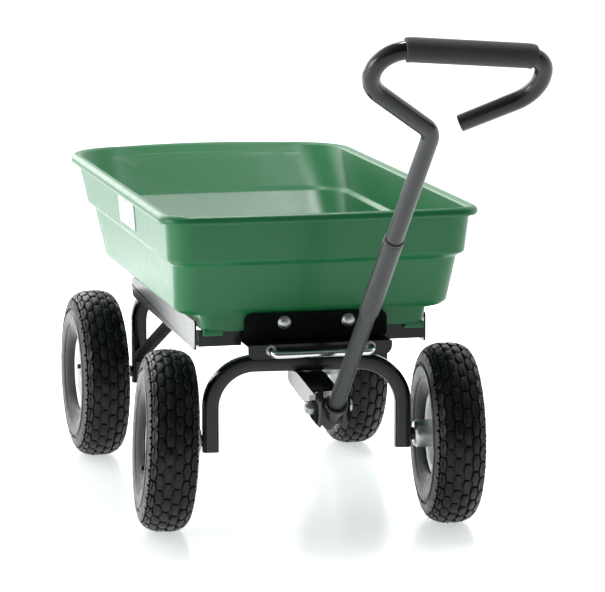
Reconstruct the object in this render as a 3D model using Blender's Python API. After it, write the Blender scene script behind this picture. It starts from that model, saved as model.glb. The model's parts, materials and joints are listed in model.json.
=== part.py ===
"""Garden dump cart: moulded tub on a steel frame, four pneumatic wheels and a pull handle."""
import math

import bmesh
import bpy
from mathutils import Matrix, Vector

# ---- driving dimensions, metres and degrees; +Z up, handle towards -Y, ground at z = 0 ----
Y_FRONT = -0.0892           # front axle line
Y_REAR = Y_FRONT + 0.562    # rear axle line
WHEEL_R = 0.130
TYRE_W = 0.0755
TREAD_HALF = 0.0130
TRACK_HALF_FRONT = 0.2045
TRACK_HALF_REAR = 0.2064
STEER_DEG = -5.4            # front axle as stored
TONGUE_DEG = 6.7            # handle bracket as stored
HANDLE_DEG = 39.4           # handle leaning forward from upright
LOOP_TWIST_DEG = -7.5       # hand loop turned in its socket
AXLE_R = 0.0079
HUB_R = 0.0198
HUB_IN = 0.0495             # hub reach inboard and outboard of the wheel centre
HUB_OUT = 0.0145
LEFT_CAMBER_DEG = 3.0       # front left wheel leans in at the top
RIM_SEAT_R = 0.0520
ARCH_TUBE = 0.0235
ARCH_LEG_X = 0.1389
ARCH_LEG_Z = 0.1125
FRONT_ARCH_TOP = 0.2505
REAR_ARCH_TOP = 0.2835
RAIL_X = 0.1685
RAIL_T = 0.0030
RAIL_Z = (0.2665, 0.3080)
RAIL_Y = (Y_FRONT - 0.026, Y_FRONT + 0.446)
CROSS_TOP = 0.2955
BRACKET_X = 0.1037
BRACKET_Z = (0.2600, 0.2802)
BRACKET_Y = (Y_FRONT - 0.083, Y_FRONT + 0.038)
BAIL_Z = 0.2725
BAIL_X = 0.0718
BAIL_R = 0.0047
BAIL_Y = Y_FRONT - 0.1015
KING_R = 0.0080
VALVE_TURN = {"front_left": 170, "front_right": 60, "rear_left": 64, "rear_right": 20}
PIVOT_Y = -0.092            # handle pivot, from the king pin, along the tongue
PIVOT_Z = 0.1910
TUBE_OFFSET = 0.0150        # pull tube lies this far in front of the pivot
TUBE_R = 0.0115
SOCKET_R = 0.0138
UPPER_R = 0.0120
SOCKET_SPAN = (0.217, 0.362)
HINGE_Y = Y_FRONT + 0.590
HINGE_Z = 0.3020
HINGE_X = 0.1100

GREEN = ("tub_green", (0.060, 0.165, 0.075), 0.0, 0.42)
BLACK = ("frame_black", (0.012, 0.013, 0.013), 0.1, 0.25)
ANTHRACITE = ("handle_grey", (0.060, 0.062, 0.065), 0.3, 0.42)
RUBBER = ("tyre_black", (0.018, 0.018, 0.018), 0.0, 0.7)
SILVER = ("rim_silver", (0.62, 0.63, 0.64), 0.6, 0.35)
ZINC = ("zinc", (0.60, 0.61, 0.61), 0.9, 0.35)
CHROME = ("chrome", (0.75, 0.76, 0.77), 1.0, 0.12)
FOAM = ("grip_foam", (0.045, 0.047, 0.048), 0.0, 0.85)

for leftover in list(bpy.data.objects):
    bpy.data.objects.remove(leftover, do_unlink=True)
cart = bpy.data.collections.new("garden_cart")
bpy.context.scene.collection.children.link(cart)
guides = bpy.data.collections.new("guides")
bpy.context.scene.collection.children.link(guides)


def add(name, bm, look, frame=None, smooth=None):
    """Close a bmesh into a named node, its origin on the given frame."""
    bmesh.ops.remove_doubles(bm, verts=bm.verts, dist=1e-6)
    bmesh.ops.recalc_face_normals(bm, faces=bm.faces)
    mesh = bpy.data.meshes.new(name)
    bm.to_mesh(mesh)
    bm.free()
    obj = bpy.data.objects.new(name, mesh)
    cart.objects.link(obj)
    material = bpy.data.materials.new(name + "_" + look[0])
    material.use_nodes = True
    shader = material.node_tree.nodes["Principled BSDF"]
    shader.inputs["Base Color"].default_value = (*look[1], 1.0)
    shader.inputs["Metallic"].default_value = look[2]
    shader.inputs["Roughness"].default_value = look[3]
    mesh.materials.append(material)
    if frame is not None:
        obj.matrix_world = frame
    if smooth:
        mesh.shade_smooth()
        mesh.set_sharp_from_angle(angle=math.radians(smooth))
    return obj


def cut(obj, cutter_bm, frame=None, operation="DIFFERENCE"):
    """Subtract a solid from a node, or join it on."""
    mesh = bpy.data.meshes.new("cutter")
    bmesh.ops.recalc_face_normals(cutter_bm, faces=cutter_bm.faces)
    cutter_bm.to_mesh(mesh)
    cutter_bm.free()
    cutter = bpy.data.objects.new(obj.name + "_cutter", mesh)
    guides.objects.link(cutter)
    cutter.display_type = "WIRE"
    cutter.hide_render = True
    cutter.matrix_world = frame if frame is not None else obj.matrix_world.copy()
    boolean = obj.modifiers.new("cut", "BOOLEAN")
    boolean.operation = operation
    boolean.solver = "EXACT"
    boolean.object = cutter


def block(bm, low, high, bevel=0.0, segments=1):
    """Box between two corners, with its own rounded edges."""
    made = bmesh.ops.create_cube(bm, size=1.0)["verts"]
    low, high = Vector(low), Vector(high)
    for v in made:
        v.co = Vector([(low[i] + high[i]) / 2 + v.co[i] * (high[i] - low[i]) for i in range(3)])
    if bevel:
        edges = list({e for v in made for e in v.link_edges})
        bmesh.ops.bevel(bm, geom=edges, offset=bevel, segments=segments, affect="EDGES", profile=0.5)
    return bm


def loft(bm, rings, closed=False):
    """Skin a list of equal rings; the ends are capped unless the loft closes on itself."""
    skins = [[bm.verts.new(p) for p in ring] for ring in rings]
    pairs = list(zip(skins, skins[1:] + skins[:1] if closed else skins[1:]))
    for a, b in pairs:
        for i in range(len(a)):
            j = (i + 1) % len(a)
            bm.faces.new((a[i], a[j], b[j], b[i]))
    if not closed:
        bm.faces.new(skins[0])
        bm.faces.new(list(reversed(skins[-1])))
    return bm


def lathe(bm, profile, steps, axis="X", closed=False):
    """Turn a profile of (along, radius) round an axis; a closed profile makes a ring."""
    rings = []
    for k in range(steps):
        a = 2 * math.pi * (k + 0.5) / steps
        c, s = math.cos(a), math.sin(a)
        spot = {"X": lambda u, r: (u, r * c, r * s), "Z": lambda u, r: (r * c, r * s, u),
                "Y": lambda u, r: (r * s, u, r * c)}[axis]
        rings.append([spot(u, r) for u, r in profile])
    if closed:
        return loft(bm, rings, closed=True)
    columns = [[ring[i] for ring in rings] for i in range(len(profile))]
    return loft(bm, columns)


def rounded_path(points, radius, steps):
    """Polyline through points with each inner corner turned into an arc."""
    points = [Vector(p) for p in points]
    radii = radius if isinstance(radius, (list, tuple)) else [radius] * (len(points) - 2)
    out = [points[0]]
    for k in range(1, len(points) - 1):
        p = points[k]
        a, b = (points[k - 1] - p).normalized(), (points[k + 1] - p).normalized()
        half = a.angle(b) / 2
        reach = radii[k - 1] / math.tan(half)
        centre = p + (a + b).normalized() * (radii[k - 1] / math.sin(half))
        start, end = p + a * reach - centre, p + b * reach - centre
        turn = start.angle(end)
        for s in range(steps + 1):
            f = s / steps
            blend = start * math.sin((1 - f) * turn) + end * math.sin(f * turn)
            out.append(centre + blend / math.sin(turn))
    out.append(points[-1])
    return out


def sweep(bm, path, section, up):
    """Carry a flat section along a path that stays in one plane; up is the plane's normal."""
    up = Vector(up).normalized()
    rings = []
    for k, p in enumerate(path):
        before = (p - path[k - 1]).normalized() if k else None
        after = (path[k + 1] - p).normalized() if k < len(path) - 1 else None
        along = ((before or after) + (after or before)).normalized()
        side = up.cross(along).normalized()
        rings.append([p + side * u + up * v for u, v in section])
    return loft(bm, rings)


def circle(radius, steps):
    return [(radius * math.cos(2 * math.pi * (k + 0.5) / steps),
             radius * math.sin(2 * math.pi * (k + 0.5) / steps)) for k in range(steps)]


def rounded_square(width, radius):
    h, out = width / 2 - radius, []
    for q, (sx, sy) in enumerate(((1, 1), (-1, 1), (-1, -1), (1, -1))):
        for k in range(3):
            a = math.radians(90 * q + 45 * k)
            out.append((sx * h + radius * math.cos(a), sy * h + radius * math.sin(a)))
    return out


def plate(bm, outline, low, high, axis="Y"):
    """Flat plate from an outline of two coordinates, between two stations along an axis."""
    if axis == "X":
        return loft(bm, [[(w, u, v) for u, v in outline] for w in (low, high)])
    return loft(bm, [[(u, w, v) for u, v in outline] for w in (low, high)])


def rounded_outline(corners, radius, steps=4):
    """Outline with every corner rounded; radius may be one per corner."""
    n = len(corners)
    radii = radius if isinstance(radius, (list, tuple)) else [radius] * n
    out = []
    for k, c in enumerate(corners):
        p = Vector((*c, 0))
        if radii[k] == 0:
            out.append((p.x, p.y))
            continue
        arc = rounded_path([(*corners[k - 1], 0), p, (*corners[(k + 1) % n], 0)], radii[k], steps)[1:-1]
        out += [(v.x, v.y) for v in arc]
    return out


def bolt(bm, along, head_r, head_h, shank_r, shank_l, sides=12):
    """Domed head with a shank behind it, along one axis, head at the low end."""
    profile = [(0.0, head_r * 0.55), (head_h * 0.45, head_r), (head_h, head_r), (head_h, shank_r),
               (head_h + shank_l, shank_r)]
    return lathe(bm, profile, sides, along)


def nut(bm, low, high, bore_r, flat_r, axis):
    """Hexagon nut with a round bore, between two stations along an axis."""
    rings = []
    for k in range(24):
        a = math.radians(15 * k)
        r = flat_r / math.cos(math.radians(15 * k % 60 - 30))
        c, s = math.cos(a), math.sin(a)
        ring = []
        for u, q in ((low, bore_r), (high, bore_r), (high, r), (low, r)):
            ring.append({"X": (u, q * c, q * s), "Z": (q * c, q * s, u)}[axis])
        rings.append(ring)
    return loft(bm, rings, closed=True)


at = Matrix.Translation
king = at((0, Y_FRONT, 0))
steer = king @ Matrix.Rotation(math.radians(STEER_DEG), 4, "Z")
tongue = king @ Matrix.Rotation(math.radians(TONGUE_DEG), 4, "Z")
handle = tongue @ at((0, PIVOT_Y, PIVOT_Z)) @ Matrix.Rotation(math.radians(HANDLE_DEG), 4, "X")
pull = handle @ at((0, -TUBE_OFFSET, 0))
loop_frame = pull @ Matrix.Rotation(math.radians(LOOP_TWIST_DEG), 4, "Z")
hinge = at((0, HINGE_Y, HINGE_Z))

# ---- tub: stepped shell with a rolled rim, a well between the rails and a sloping tail ----
CORNER_STEPS = 6
SIDE_STEPS = 6
# station: z, half width, front y, rear y, front corner, rear corner, front bow, rear bow
OUTER = (
    (0.2958, 0.1600, -0.0470, 0.4200, 0.012, 0.020, 0.000, 0.000),
    (0.3190, 0.1640, -0.0495, 0.4420, 0.014, 0.026, 0.000, 0.000),
    (0.3215, 0.1920, -0.0505, 0.5360, 0.026, 0.046, 0.001, 0.004),
    (0.3270, 0.1985, -0.0550, 0.5480, 0.031, 0.050, 0.002, 0.005),
    (0.3940, 0.2050, -0.0850, 0.6240, 0.034, 0.062, 0.003, 0.008),
    (0.3975, 0.2075, -0.0875, 0.6290, 0.034, 0.064, 0.003, 0.008),
    (0.4010, 0.2145, -0.0965, 0.6380, 0.036, 0.070, 0.004, 0.010),
    (0.4560, 0.2190, -0.1080, 0.7160, 0.038, 0.085, 0.005, 0.020),
    (0.4565, 0.2275, -0.1180, 0.7370, 0.042, 0.090, 0.006, 0.024),
    (0.4590, 0.2290, -0.1200, 0.7400, 0.043, 0.092, 0.006, 0.025),
    (0.4650, 0.2285, -0.1195, 0.7430, 0.043, 0.092, 0.006, 0.026),
    (0.4685, 0.2240, -0.1160, 0.7440, 0.040, 0.090, 0.006, 0.026),
)
INNER = (
    (0.4685, 0.2140, -0.1095, 0.7400, 0.036, 0.086, 0.006, 0.025),
    (0.4660, 0.2115, -0.1060, 0.7340, 0.034, 0.083, 0.005, 0.023),
    (0.4070, 0.2095, -0.0925, 0.6380, 0.032, 0.067, 0.004, 0.010),
    (0.4045, 0.2035, -0.0845, 0.6290, 0.030, 0.061, 0.003, 0.008),
    (0.3980, 0.2015, -0.0815, 0.6200, 0.030, 0.058, 0.003, 0.008),
    (0.3310, 0.1950, -0.0515, 0.5450, 0.028, 0.047, 0.002, 0.005),
    (0.3255, 0.1890, -0.0475, 0.5340, 0.024, 0.043, 0.001, 0.004),
    (0.3235, 0.1610, -0.0465, 0.4390, 0.012, 0.023, 0.000, 0.000),
    (0.2998, 0.1565, -0.0440, 0.4170, 0.010, 0.018, 0.000, 0.000),
)


def tub_ring(z, half, front, rear, r_front, r_rear, bow_front, bow_rear):
    """Rounded rectangle whose ends bulge outward; front and rear are distances from the front axle."""
    front, rear = front + Y_FRONT, rear + Y_FRONT
    points = []
    for end, r, bow, sign in ((rear, r_rear, bow_rear, 1), (front, r_front, bow_front, -1)):
        base = end - sign * bow
        centre_x = half - r
        for k in range(CORNER_STEPS + 1):
            a = math.radians(90 * k / CORNER_STEPS)
            a = a if sign > 0 else math.radians(180) + a
            points.append((sign * centre_x + r * math.cos(a), base - sign * r + r * math.sin(a), z))
        for k in range(1, SIDE_STEPS):
            x = sign * centre_x * (1 - 2 * k / SIDE_STEPS)
            points.append((x, base + sign * bow * (1 - (x / centre_x) ** 2), z))
        for k in range(CORNER_STEPS + 1):
            a = math.radians(90 + 90 * k / CORNER_STEPS)
            a = a if sign > 0 else math.radians(180) + a
            points.append((-sign * centre_x + r * math.cos(a), base - sign * r + r * math.sin(a), z))
    return points


bm = bmesh.new()
loft(bm, [[Vector(p) - hinge.translation for p in tub_ring(*station)] for station in OUTER + INNER])
tub = add("tub", bm, GREEN, hinge, smooth=32)
for sx in (-1, 1):
    # front foot that hangs in front of the cross member
    bm = bmesh.new()
    low, high = sorted((sx * 0.1320, sx * 0.1600))
    block(bm, (low, Y_FRONT - 0.0474, 0.2895), (high, Y_FRONT - 0.0386, 0.2985), 0.001)
    cut(tub, bm, Matrix.Identity(4), "UNION")

# ---- tub fittings ----
bm = bmesh.new()
outline = rounded_outline([(-0.1029, 0.2835), (0.1029, 0.2835), (0.1029, 0.3195), (-0.1029, 0.3195)],
                          [0.003, 0.003, 0.011, 0.011])
plate(bm, outline, Y_FRONT - 0.0560, Y_FRONT - 0.0505)
bm.transform(hinge.inverted())
latch_plate = add("latch_plate", bm, BLACK, hinge)
for side, sx in (("left", -1), ("right", 1)):
    spot = at((sx * 0.0462, Y_FRONT - 0.0623, 0.3070))
    bm = bmesh.new()
    lathe(bm, [(-0.01, 0.0054), (0.02, 0.0054)], 16, "Y")
    cut(latch_plate, bm, spot)
    bm = bmesh.new()
    bolt(bm, "Y", 0.0084, 0.0060, 0.0048, 0.0056)
    bm.transform(spot)
    bm.transform(hinge.inverted())
    add("latch_bolt_" + side, bm, ZINC, hinge, smooth=40)
    bm = bmesh.new()
    tab = rounded_outline([(Y_FRONT + 0.572, 0.2890), (Y_FRONT + 0.608, 0.2890), (Y_FRONT + 0.616, 0.3205),
                           (Y_FRONT + 0.500, 0.3205), (Y_FRONT + 0.500, 0.3160)], [0.012, 0.012, 0, 0, 0])
    x0 = sx * (HINGE_X - 0.0080)
    plate(bm, tab, x0 - 0.002, x0 + 0.002, "X")
    bm.transform(hinge.inverted())
    lug = add("tub_lug_" + side, bm, BLACK, hinge)
    bm = bmesh.new()
    lathe(bm, [(-0.02, 0.0063), (0.02, 0.0063)], 24, "X")
    cut(lug, bm, at((x0, HINGE_Y, HINGE_Z)))

# ---- latch: bright bail with its hook bar ----
bail_frame = at((0, BAIL_Y, BAIL_Z))
bm = bmesh.new()
path = rounded_path([(-BAIL_X, 0.0460, 0), (-BAIL_X, 0, 0), (BAIL_X, 0, 0), (BAIL_X, 0.0460, 0)], 0.010, 5)
sweep(bm, path, circle(BAIL_R, 12), (0, 0, 1))
add("bail", bm, CHROME, bail_frame, smooth=40)
bm = bmesh.new()
block(bm, (-0.0820, 0.0463, -0.0050), (0.0820, 0.0523, 0.0045), 0.0008)
add("latch_bar", bm, ZINC, bail_frame)

# ---- frame: rails, cross members, steering bracket ----
for side, sx in (("left", -1), ("right", 1)):
    bm = bmesh.new()
    z0, z1 = RAIL_Z
    y0, y1 = RAIL_Y
    # folded sheet: tall web outside, a narrow shelf inward at the foot and a lip at the front
    outline = rounded_outline([(y0, z0), (y1, z0 + 0.004), (y1, z1 - 0.008), (y0, z1)],
                              [0.004, 0.018, 0.014, 0.006])
    x0, x1 = sorted((sx * RAIL_X, sx * (RAIL_X - RAIL_T)))
    plate(bm, outline, x0, x1, "X")
    add("rail_" + side, bm, BLACK)

bm = bmesh.new()
z0, y0 = 0.2735, Y_FRONT - 0.038
inner = RAIL_X - RAIL_T - 0.0003
edge = BRACKET_X + 0.0003
outline = [(-inner, z0), (-edge, z0), (-edge, BRACKET_Z[1] + 0.0003), (edge, BRACKET_Z[1] + 0.0003),
           (edge, z0), (inner, z0), (inner, CROSS_TOP), (-inner, CROSS_TOP)]
plate(bm, outline, y0, y0 + 0.014)
add("front_cross_member", bm, BLACK)

bm = bmesh.new()
block(bm, (-inner, Y_FRONT + 0.395, 0.2700), (inner, Y_FRONT + 0.425, 0.2950), 0.002)
add("rear_cross_member", bm, BLACK)

bm = bmesh.new()
x, (z0, z1), (y0, y1) = BRACKET_X, BRACKET_Z, BRACKET_Y
# wide front plate with a top flange, and a narrower tail that carries the king pin
outline = rounded_outline([(-x, z0), (x, z0), (x, z1), (-x, z1)], [0.010, 0.012, 0.002, 0.002])
plate(bm, outline, y0, y0 + 0.0560)
bracket = add("steering_bracket", bm, BLACK)
bm = bmesh.new()
block(bm, (-x - 0.01, y0 + 0.0030, z0 - 0.01), (x + 0.01, y0 + 0.0700, z1 - 0.0025))
cut(bracket, bm)
bm = bmesh.new()
block(bm, (-0.0450, y0 + 0.0500, z0), (0.0450, y1, z1), 0.0015)
cut(bracket, bm, None, "UNION")
bm = bmesh.new()
block(bm, (-0.0420, y0 + 0.0030, z0 - 0.01), (0.0420, y1 - 0.003, z1 - 0.0025))
cut(bracket, bm)
bm = bmesh.new()
lathe(bm, [(0.24, KING_R + 0.0003), (0.30, KING_R + 0.0003)], 24, "Z")
cut(bracket, bm, at((0, Y_FRONT, 0)))
for side, sx in (("left", -1), ("right", 1)):
    bm = bmesh.new()
    lathe(bm, [(-0.02, 0.0078), (0.02, 0.0078)], 20, "Y")
    cut(bracket, bm, at((sx * BAIL_X, y0, BAIL_Z)))
    bm = bmesh.new()
    lathe(bm, [(-0.0025, 0.0052), (0.0050, 0.0052), (0.0050, 0.0074), (-0.0005, 0.0074), (-0.0025, 0.0068)],
          20, "Y", closed=True)
    add("bail_eye_" + side, bm, ZINC, at((sx * BAIL_X, y0, BAIL_Z)), smooth=40)

# ---- axle arches ----


def arch(bm, leg_x, leg_z, top, bend):
    mid = top - ARCH_TUBE / 2
    path = rounded_path([(-leg_x, 0, leg_z), (-leg_x, 0, mid), (leg_x, 0, mid), (leg_x, 0, leg_z)], bend, 9)
    return sweep(bm, path, rounded_square(ARCH_TUBE, 0.0055), (0, 1, 0))


def bore_x(obj, frame, radius):
    cutter = bmesh.new()
    lathe(cutter, [(-0.3, radius), (0.3, radius)], 24, "X")
    cut(obj, cutter, frame)


bm = bmesh.new()
arch(bm, ARCH_LEG_X, ARCH_LEG_Z, FRONT_ARCH_TOP, 0.064)
front_arch = add("front_arch", bm, BLACK, steer, smooth=35)
bm = bmesh.new()
lathe(bm, [(0.15, KING_R + 0.0003), (0.30, KING_R + 0.0003)], 24, "Z")
cut(front_arch, bm, steer)

bm = bmesh.new()
arch(bm, ARCH_LEG_X - 0.0030, ARCH_LEG_Z, REAR_ARCH_TOP, 0.062)
rear_arch = add("rear_arch", bm, BLACK, at((0, Y_REAR, 0)), smooth=35)

# ---- rear braces, hinge beams and hinge pin ----
for side, sx in (("left", -1), ("right", 1)):
    start = Vector((sx * 0.1550, Y_FRONT + 0.205, RAIL_Z[0] + 0.002))
    end = Vector((sx * 0.1380, Y_REAR - 0.0170, 0.1560))
    bm = bmesh.new()
    along = (end - start).normalized()
    normal = along.cross(Vector((1, 0, 0))).normalized()
    path = [start, start.lerp(end, 0.5), end]
    sweep(bm, path, rounded_square(0.0190, 0.004), normal)
    add("brace_" + side, bm, BLACK, smooth=35)

    bm = bmesh.new()
    x0 = sx * HINGE_X
    beam_line = [(0.4255, 0.2840), (0.5720, 0.2840), (0.6050, 0.2900), (0.6050, 0.3140), (0.5700, 0.3140),
                 (0.4255, 0.2950)]
    outline = rounded_outline([(Y_FRONT + u, v) for u, v in beam_line], [0, 0.004, 0.010, 0.010, 0.02, 0])
    plate(bm, outline, x0 - 0.0035, x0 + 0.0035, "X")
    beam = add("hinge_beam_" + side, bm, BLACK)
    bm = bmesh.new()
    lathe(bm, [(-0.02, 0.0063), (0.02, 0.0063)], 24, "X")
    cut(beam, bm, at((x0, HINGE_Y, HINGE_Z)))
bm = bmesh.new()
lathe(bm, [(-0.1200, 0.0085), (-0.1150, 0.0085), (-0.1150, 0.0060), (0.1200, 0.0060)], 20, "X")
add("hinge_pin", bm, ZINC, hinge, smooth=40)

# ---- king pin ----
bm = bmesh.new()
lathe(bm, [(0.2950, 0.0100), (0.2925, 0.0135), (0.2850, 0.0135), (0.2850, KING_R), (0.2130, KING_R)], 20, "Z")
add("king_pin", bm, ZINC, king, smooth=40)
bm = bmesh.new()
nut(bm, 0.2105, 0.2185, KING_R + 0.0003, 0.0120, "Z")
add("king_pin_nut", bm, ZINC, king)

# ---- axles and their end nuts ----
for name, frame, sx, track in (("front_left", steer, -1, TRACK_HALF_FRONT - 0.0015),
                               ("front_right", steer, 1, TRACK_HALF_FRONT),
                               ("rear_left", at((0, Y_REAR, 0)), -1, TRACK_HALF_REAR),
                               ("rear_right", at((0, Y_REAR, 0)), 1, TRACK_HALF_REAR)):
    leg = ARCH_LEG_X if "front" in name else ARCH_LEG_X - 0.0030
    leg_in, leg_out = leg - ARCH_TUBE / 2, leg + ARCH_TUBE / 2
    hub_in, hub_out = track - HUB_IN, track + HUB_OUT
    lean = math.radians(LEFT_CAMBER_DEG) if name == "front_left" else 0.0
    lift = TREAD_HALF * math.sin(lean) - WHEEL_R * (1 - math.cos(lean))
    wheel = frame @ at((sx * track, 0, WHEEL_R + lift)) @ Matrix.Rotation(lean, 4, "Y")
    axle = wheel @ at((-sx * track, 0, 0))
    bm = bmesh.new()
    lathe(bm, [(sx * (leg_in + 0.0036), AXLE_R), (sx * (leg_out + 0.0010), AXLE_R),
               (sx * (leg_out + 0.0010), 0.0092), (sx * (hub_in - 0.0006), 0.0092),
               (sx * (hub_in - 0.0006), AXLE_R), (sx * (hub_out + 0.0075), AXLE_R)], 24)
    add("axle_" + name, bm, BLACK, axle, smooth=40)
    bm = bmesh.new()
    lathe(bm, [(sx * (leg_in + 0.0030), AXLE_R + 0.0003), (sx * 0.3, AXLE_R + 0.0003)], 24)
    cut(front_arch if "front" in name else rear_arch, bm, axle)
    bm = bmesh.new()
    nut(bm, sx * (hub_out + 0.0006), sx * (hub_out + 0.0062), AXLE_R + 0.0003, 0.0112, "X")
    add("axle_nut_" + name, bm, ZINC, axle)

    # ---- wheel: hollow tyre, rim with a dished disc, hub and valve ----
    h = TYRE_W / 2
    outer = [(0.0220, RIM_SEAT_R + 0.0006), (0.0240, 0.0608), (0.0272, 0.0640), (0.0352, 0.0780), (h, 0.0925),
             (h - 0.0014, 0.1110), (h - 0.0095, 0.1240), (TREAD_HALF, WHEEL_R / math.cos(math.pi / 28))]
    profile = outer + [(-u, r) for u, r in reversed(outer)]
    cavity = [(-0.0170, RIM_SEAT_R + 0.0006), (-0.0290, 0.0820), (-0.0240, 0.1110), (0.0240, 0.1110),
              (0.0290, 0.0820), (0.0170, RIM_SEAT_R + 0.0006)]
    bm = bmesh.new()
    lathe(bm, profile + cavity, 28, closed=True)
    add("tyre_" + name, bm, RUBBER, wheel, smooth=40)
    rim = [(-0.0243, 0.0600), (-0.0225, RIM_SEAT_R), (0.0225, RIM_SEAT_R), (0.0243, 0.0600),
           (0.0252, 0.0600), (0.0236, 0.0500), (0.0080, 0.0480), (0.0016, HUB_R + 0.0003),
           (-0.0016, HUB_R + 0.0003), (-0.0080, 0.0480), (-0.0236, 0.0500), (-0.0252, 0.0600)]
    bm = bmesh.new()
    lathe(bm, rim, 22, closed=True)
    add("rim_" + name, bm, SILVER, wheel, smooth=40)
    bm = bmesh.new()
    bevel, bore = 0.0015, AXLE_R + 0.0002
    lathe(bm, [(-sx * HUB_IN, bore), (sx * HUB_OUT, bore), (sx * HUB_OUT, HUB_R - bevel),
               (sx * (HUB_OUT - bevel), HUB_R), (-sx * (HUB_IN - bevel), HUB_R),
               (-sx * HUB_IN, HUB_R - bevel)], 20, closed=True)
    add("hub_" + name, bm, SILVER, wheel, smooth=40)
    bm = bmesh.new()
    lathe(bm, [(0.0, 0.0040), (0.0035, 0.0052), (0.0120, 0.0044), (0.0160, 0.0032), (0.0270, 0.0030)], 12)
    bm.transform(Matrix.Rotation(math.radians(90 - 90 * sx), 4, "Z") @ at((0.0075, 0, 0.0400)))
    valve = wheel @ Matrix.Rotation(math.radians(VALVE_TURN[name]), 4, "X")
    add("valve_" + name, bm, RUBBER, valve, smooth=40)

# ---- tongue: angled U bracket under the front arch ----
bm = bmesh.new()
side_line = [(0.0220, 0.2263), (-0.0150, 0.2263), (-0.1035, 0.2030), (-0.1035, 0.1785), (-0.0300, 0.1925),
             (0.0220, 0.2085)]
outline = rounded_outline(side_line, [0.005, 0.020, 0.0115, 0.0115, 0.030, 0.005], 5)
plate(bm, outline, -0.0205, 0.0205, "X")
tongue_bracket = add("tongue_bracket", bm, BLACK, tongue)
bm = bmesh.new()
inside = [(0.0600, 0.2235), (-0.0154, 0.2235), (-0.0720, 0.2086), (-0.0720, 0.2400), (-0.1500, 0.2400),
          (-0.1500, 0.1500), (0.0600, 0.1500)]
plate(bm, inside, -0.0175, 0.0175, "X")
cut(tongue_bracket, bm)
bm = bmesh.new()
lathe(bm, [(0.15, KING_R + 0.0003), (0.30, KING_R + 0.0003)], 24, "Z")
cut(tongue_bracket, bm, tongue)
bolt_frame = tongue @ at((0, PIVOT_Y, PIVOT_Z))
bore_x(tongue_bracket, bolt_frame, 0.0053)
bm = bmesh.new()
lathe(bm, [(0.0325, 0.0070), (0.0305, 0.0090), (0.0265, 0.0090), (0.0265, 0.0050), (-0.0370, 0.0050)], 18)
add("pivot_bolt", bm, ZINC, bolt_frame, smooth=40)
bm = bmesh.new()
nut(bm, -0.0345, -0.0268, 0.0053, 0.0085, "X")
add("pivot_nut", bm, ZINC, bolt_frame)

# ---- handle: fork head, pull tube with a wide socket, hand loop and grip ----
bm = bmesh.new()
cheek = rounded_outline([(-0.0260, -0.0270), (0.0040, -0.0210), (0.0130, 0.0000), (0.0060, 0.0220),
                         (-0.0260, 0.0290)], [0.007, 0.012, 0.020, 0.012, 0.007])
plate(bm, cheek, -0.0260, 0.0260, "X")
fork = add("fork_head", bm, BLACK, handle, smooth=40)
for low, high in ((-0.0400, -0.0190), (-0.0150, 0.0500)):
    bm = bmesh.new()
    block(bm, (-0.0228, low, -0.0600), (0.0228, high, 0.0600))
    cut(fork, bm)
bm = bmesh.new()
lathe(bm, [(-0.0240, 0.0148), (0.0240, 0.0148)], 24, "Z")
cut(fork, bm, pull, "UNION")
bm = bmesh.new()
lathe(bm, [(0.0060, TUBE_R + 0.0003), (0.2000, TUBE_R + 0.0003)], 24, "Z")
cut(fork, bm, pull)
bore_x(fork, handle, 0.0053)

bm = bmesh.new()
s0, s1 = SOCKET_SPAN
lathe(bm, [(0.0064, TUBE_R), (s0 - 0.006, TUBE_R), (s0, SOCKET_R), (s1 - 0.001, SOCKET_R),
           (s1, SOCKET_R - 0.001), (s1, UPPER_R + 0.0003), (s0 + 0.010, UPPER_R + 0.0003),
           (s0 + 0.010, 0.0001)], 24, "Z")
add("pull_tube", bm, ANTHRACITE, pull, smooth=30)

LOOP = [(0.0, s0 + 0.0105), (0.0, 0.5645), (-0.1942, 0.7039), (0.1120, 0.7085), (0.1225, 0.6480),
        (0.0325, 0.5828)]
bm = bmesh.new()
path = rounded_path([(x, 0, z) for x, z in LOOP], [0.030, 0.044, 0.030, 0.055], 9)
sweep(bm, path, circle(UPPER_R, 12), (0, 1, 0))
add("hand_loop", bm, ANTHRACITE, loop_frame, smooth=35)

# foam sleeve along the top run, let into the start of both bends
top = [k for k, p in enumerate(path) if p.z > 0.6900 and -0.0740 < p.x < 0.0960]
covered = path[top[0]:top[-1] + 1]
back = (path[top[0] - 1] - covered[0]).normalized()
ahead = (path[top[-1] + 1] - covered[-1]).normalized()
sleeve = [covered[0] + back * 0.0040] + covered
bm = bmesh.new()
sweep(bm, sleeve, circle(0.0160, 18), (0, 1, 0))
grip = add("grip", bm, FOAM, loop_frame, smooth=40)
cutter = bmesh.new()
bore = [sleeve[0] + back * 0.01] + covered + [covered[-1] + ahead * 0.01]
sweep(cutter, bore, circle(UPPER_R + 0.0003, 16), (0, 1, 0))
cut(grip, cutter)
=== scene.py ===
"""Looks of the garden dump cart: moulded tub, block-tread tyres, painted steel and a foam grip."""
import json
import math
import random

import bmesh
import bpy
from mathutils import Matrix, Vector


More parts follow.
